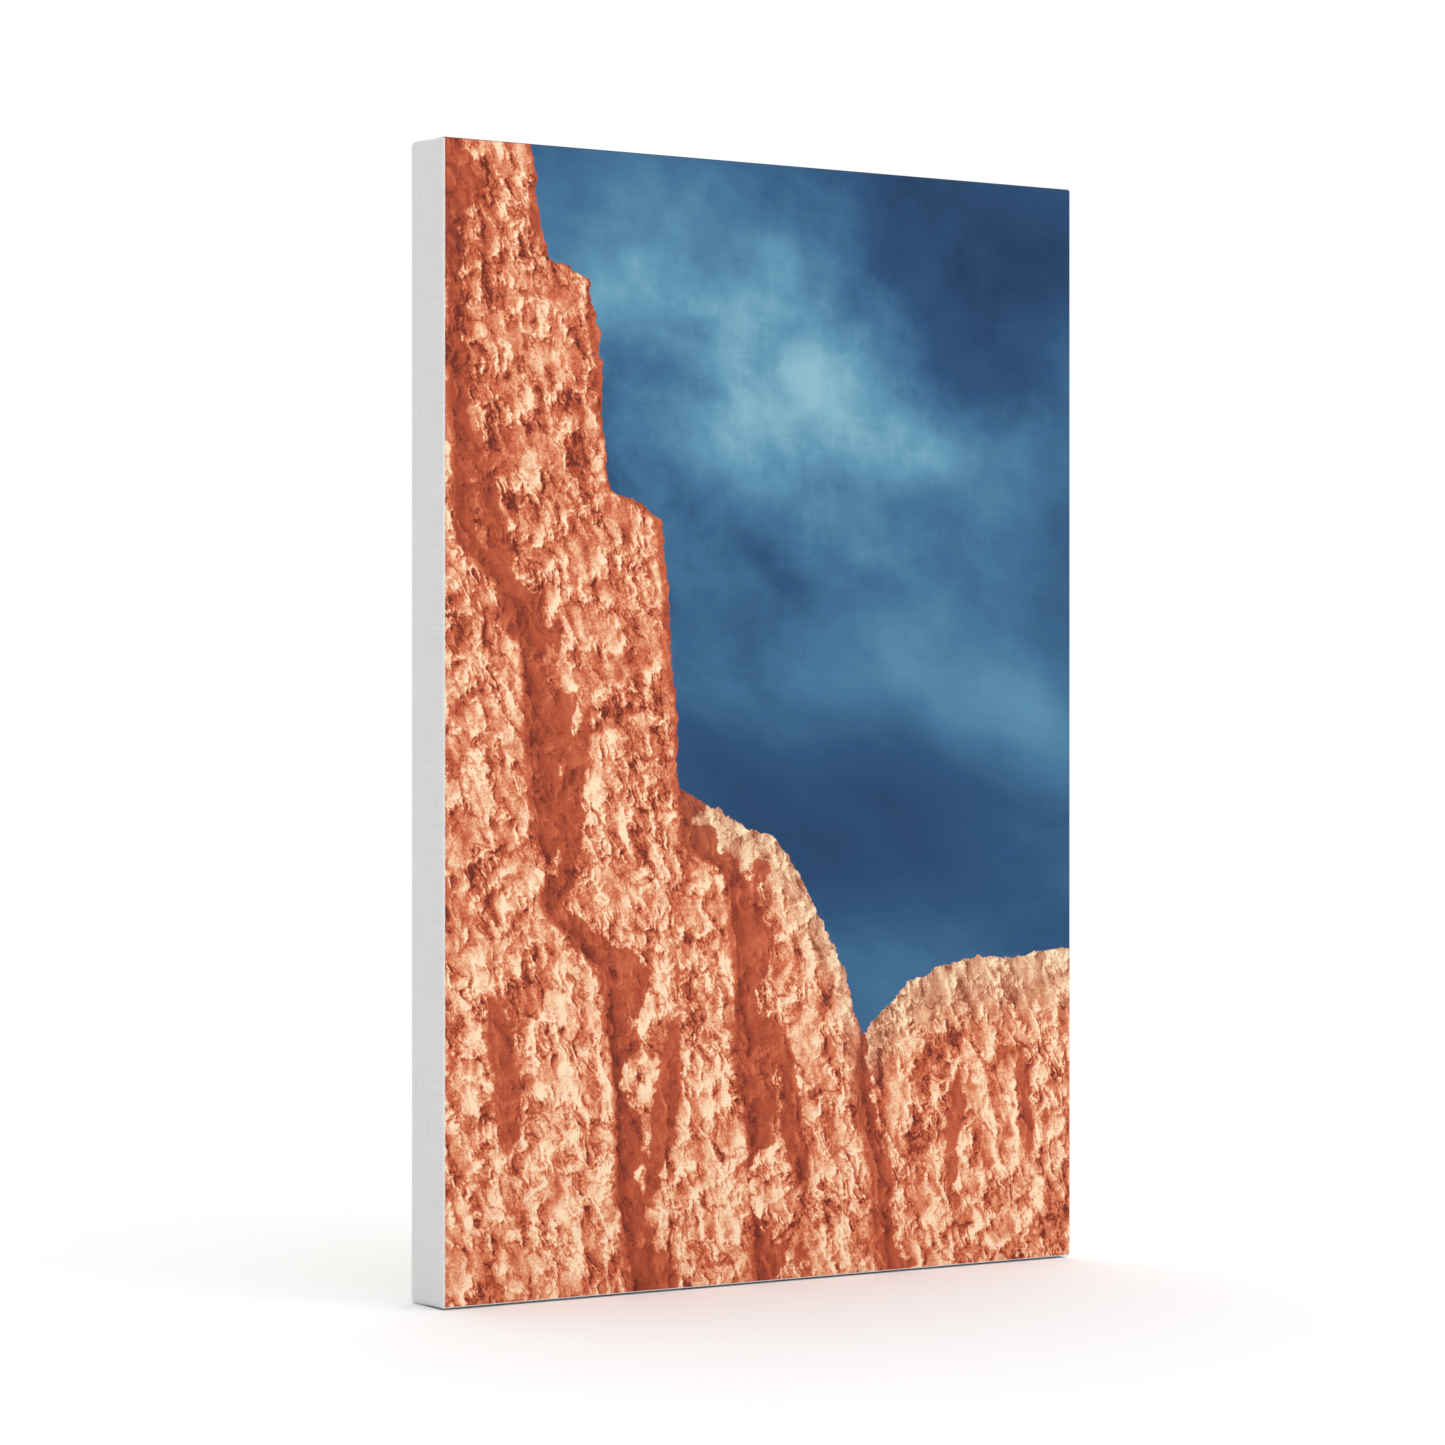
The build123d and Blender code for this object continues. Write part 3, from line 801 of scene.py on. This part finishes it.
# The surroundings' strength along an axis: from a direction, to a direction, and the two strengths.
FROM_THE_SIDE = (-0.9, 0.1, 0.36, 1.02)
FROM_ABOVE = (0.55, 0.95, 0.0, 0.60)
VIEW_TURN = math.radians(32.1)
VIEW_DISTANCE = 2.256
VIEW_ASIDE = 0.027


def floor():
    data = bpy.data.meshes.new("floor")
    corners = [(x * FLOOR_REACH, y * FLOOR_REACH, 0) for x, y in ((-1, -1), (1, -1), (1, 1), (-1, 1))]
    data.from_pydata(corners, [], [(0, 1, 2, 3)])
    ground = bpy.data.objects.new("floor", data)
    bpy.context.scene.collection.objects.link(ground)
    s = Shader("pale_floor")
    data.materials.append(s.finish(Base_Color=(0.94, 0.94, 0.94, 1), Roughness=0.9))


def surroundings():
    """Even white light, a little dimmer from the viewer's left of the print."""
    world = bpy.data.worlds.new("studio")
    bpy.context.scene.world = world
    world.use_nodes = True
    nodes, links = world.node_tree.nodes, world.node_tree.links
    place = nodes.new("ShaderNodeTexCoord")
    split = nodes.new("ShaderNodeSeparateXYZ")
    total = nodes.new("ShaderNodeMath")
    links.new(place.outputs["Generated"], split.inputs[0])
    for term, (axis, limits) in enumerate((("X", FROM_THE_SIDE), ("Z", FROM_ABOVE))):
        fade = nodes.new("ShaderNodeMapRange")
        fade.interpolation_type = "SMOOTHSTEP"
        for socket, value in zip(fade.inputs[1:5], limits):
            socket.default_value = value
        links.new(split.outputs[axis], fade.inputs[0])
        links.new(fade.outputs[0], total.inputs[term])
    links.new(total.outputs[0], nodes["Background"].inputs["Strength"])
    nodes["Background"].inputs["Color"].default_value = (1, 1, 1, 1)


def soft_light(name, place, target, size, power):
    light = bpy.data.lights.new(name, "AREA")
    light.shape = "SQUARE"
    light.size = size
    light.energy = power
    lamp = bpy.data.objects.new(name, light)
    lamp.location = place
    lamp.rotation_euler = (Vector(target) - Vector(place)).to_track_quat("-Z", "Y").to_euler()
    bpy.context.scene.collection.objects.link(lamp)


def camera():
    """Level with the middle of the print, and 32 degrees round to its left."""
    ahead = Vector((math.sin(VIEW_TURN), math.cos(VIEW_TURN), 0))
    right = Vector((math.cos(VIEW_TURN), -math.sin(VIEW_TURN), 0))
    data = bpy.data.cameras.new("camera")
    data.lens = 103
    data.sensor_width = 36
    view = bpy.data.objects.new("camera", data)
    view.location = Vector((0, FRONT, MIDDLE)) - right * VIEW_ASIDE - ahead * VIEW_DISTANCE
    view.rotation_euler = ahead.to_track_quat("-Z", "Y").to_euler()
    bpy.context.scene.collection.objects.link(view)
    bpy.context.scene.camera = view


floor()
surroundings()
soft_light("key_light", (1.4, -2.6, 2.2), (0, 0, MIDDLE), 1.6, 11)
camera()
bpy.context.scene.view_settings.view_transform = "Standard"
